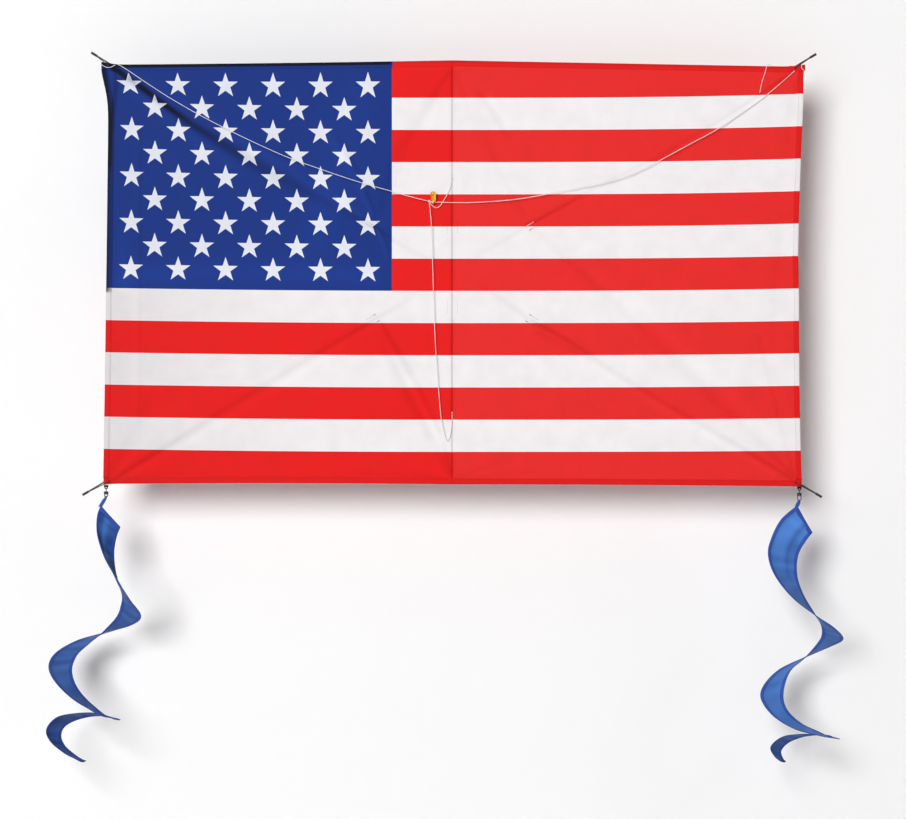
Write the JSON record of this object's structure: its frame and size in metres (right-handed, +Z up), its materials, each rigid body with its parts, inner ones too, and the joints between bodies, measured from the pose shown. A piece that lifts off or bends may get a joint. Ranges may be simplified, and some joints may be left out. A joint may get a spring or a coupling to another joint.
{
  "type": "flat flag kite with spiral tails",
  "caption": "Flat rectangular flag kite on crossed spars and a spine, with a legged cord bridle, a tow clip and swivelling spiral tails.",
  "frame": {"origin": "where the two diagonal spars cross, in the plane of the sail", "axes": "+X towards the fly edge of the flag, +Y out of the back of the sail, +Z up"},
  "size_m": [1.4834, 0.1627, 1.3234],
  "materials": {
    "ripstop_cloth": "woven ripstop, printed in stripes and a blue field with stars",
    "hem_cloth": "folded and stitched ripstop hem",
    "reinforcement_cloth": "doubled ripstop, stitched",
    "fibreglass_rod": "pultruded fibreglass rod, dark grey",
    "ferrule_metal": "drawn tube",
    "end_cap": "black moulded cap",
    "elastic_cord": "black braided elastic",
    "black_webbing": "black woven webbing",
    "swivel_metal": "black oxide steel wire and barrel",
    "tail_cloth": "blue nylon with a darker bound edge",
    "clip_plastic": "orange-yellow moulded plastic",
    "bridle_cord": "white braided cord"
  },
  "bodies": {
    "root": {"sail_left_panel": "ripstop_cloth", "sail_right_panel": "ripstop_cloth", "centre_seam_tape": "hem_cloth", "top_hem": "hem_cloth", "bottom_hem": "hem_cloth", "left_hem": "hem_cloth", "right_hem": "hem_cloth", "spine_rod": "fibreglass_rod", "top_spine_pocket": "reinforcement_cloth", "bottom_spine_pocket": "reinforcement_cloth", "upper_spine_keeper": "reinforcement_cloth", "lower_spine_keeper": "reinforcement_cloth", "falling_spar_upper": "fibreglass_rod", "falling_spar_lower": "fibreglass_rod", "rising_spar_upper": "fibreglass_rod", "rising_spar_lower": "fibreglass_rod", "falling_ferrule": "ferrule_metal", "rising_ferrule": "ferrule_metal", "top_left_patch": "reinforcement_cloth", "top_right_patch": "reinforcement_cloth", "bottom_left_patch": "reinforcement_cloth", "bottom_right_patch": "reinforcement_cloth", "top_left_tunnel": "reinforcement_cloth", "top_right_tunnel": "reinforcement_cloth", "bottom_left_tunnel": "reinforcement_cloth", "bottom_right_tunnel": "reinforcement_cloth", "top_left_keeper": "reinforcement_cloth", "top_right_keeper": "reinforcement_cloth", "bottom_left_keeper": "reinforcement_cloth", "bottom_right_keeper": "reinforcement_cloth", "top_left_nock": "end_cap", "top_right_nock": "end_cap", "bottom_left_nock": "end_cap", "bottom_right_nock": "end_cap", "top_left_loop": "elastic_cord", "top_right_loop": "elastic_cord", "bottom_left_loop": "elastic_cord", "bottom_right_loop": "elastic_cord", "left_webbing": "black_webbing", "right_webbing": "black_webbing", "upper_spine_knot": "bridle_cord", "lower_spine_knot": "bridle_cord", "upper_bridle_leg": "bridle_cord", "lower_bridle_leg": "bridle_cord", "bridle_tag_end": "bridle_cord", "left_hitch": "bridle_cord", "right_hitch": "bridle_cord"},
    "bridle": {"left_bridle_leg": "bridle_cord", "right_bridle_leg": "bridle_cord", "bridle_knot": "bridle_cord"},
    "tow_clip": {"tow_clip": "clip_plastic"},
    "left_eye": {"left_swivel_eye": "swivel_metal"},
    "left_hook": {"left_swivel_hook": "swivel_metal"},
    "left_tail": {"left_tail_tab": "tail_cloth", "left_tail_cloth": "tail_cloth"},
    "right_eye": {"right_swivel_eye": "swivel_metal"},
    "right_hook": {"right_swivel_hook": "swivel_metal"},
    "right_tail": {"right_tail_tab": "tail_cloth", "right_tail_cloth": "tail_cloth"}
  },
  "joints": [
    {"name": "bridle_swing", "type": "hinge", "parent": "root", "child": "bridle", "pos_m": [-0.625, -0.003, 0.388], "axis": [-0.9999, 0, 0.0103], "range_deg": [0, 14]},
    {"name": "tow_clip_flip", "type": "hinge", "parent": "bridle", "child": "tow_clip", "pos_m": [-0.036, -0.012, 0.1304], "axis": [0.9135, 0.4067, 0], "range_deg": [0, 90]},
    {"name": "left_eye_swing", "type": "hinge", "parent": "root", "child": "left_eye", "pos_m": [-0.646, 0, -0.4053], "axis": [1, 0, 0], "range_deg": [-40, 40]},
    {"name": "left_swivel_spin", "type": "hinge", "parent": "left_eye", "child": "left_hook", "pos_m": [-0.646, 0, -0.4121], "axis": [0, 0, 1], "continuous": true},
    {"name": "left_tail_tilt", "type": "hinge", "parent": "left_hook", "child": "left_tail", "pos_m": [-0.646, 0, -0.4194], "axis": [1, 0, 0], "range_deg": [-30, 30]},
    {"name": "right_eye_swing", "type": "hinge", "parent": "root", "child": "right_eye", "pos_m": [0.647, 0, -0.4081], "axis": [1, 0, 0], "range_deg": [-40, 40]},
    {"name": "right_swivel_spin", "type": "hinge", "parent": "right_eye", "child": "right_hook", "pos_m": [0.647, 0, -0.4149], "axis": [0, 0, 1], "continuous": true},
    {"name": "right_tail_tilt", "type": "hinge", "parent": "right_hook", "child": "right_tail", "pos_m": [0.647, 0, -0.4267], "axis": [1, 0, 0], "range_deg": [-30, 30]}
  ]
}
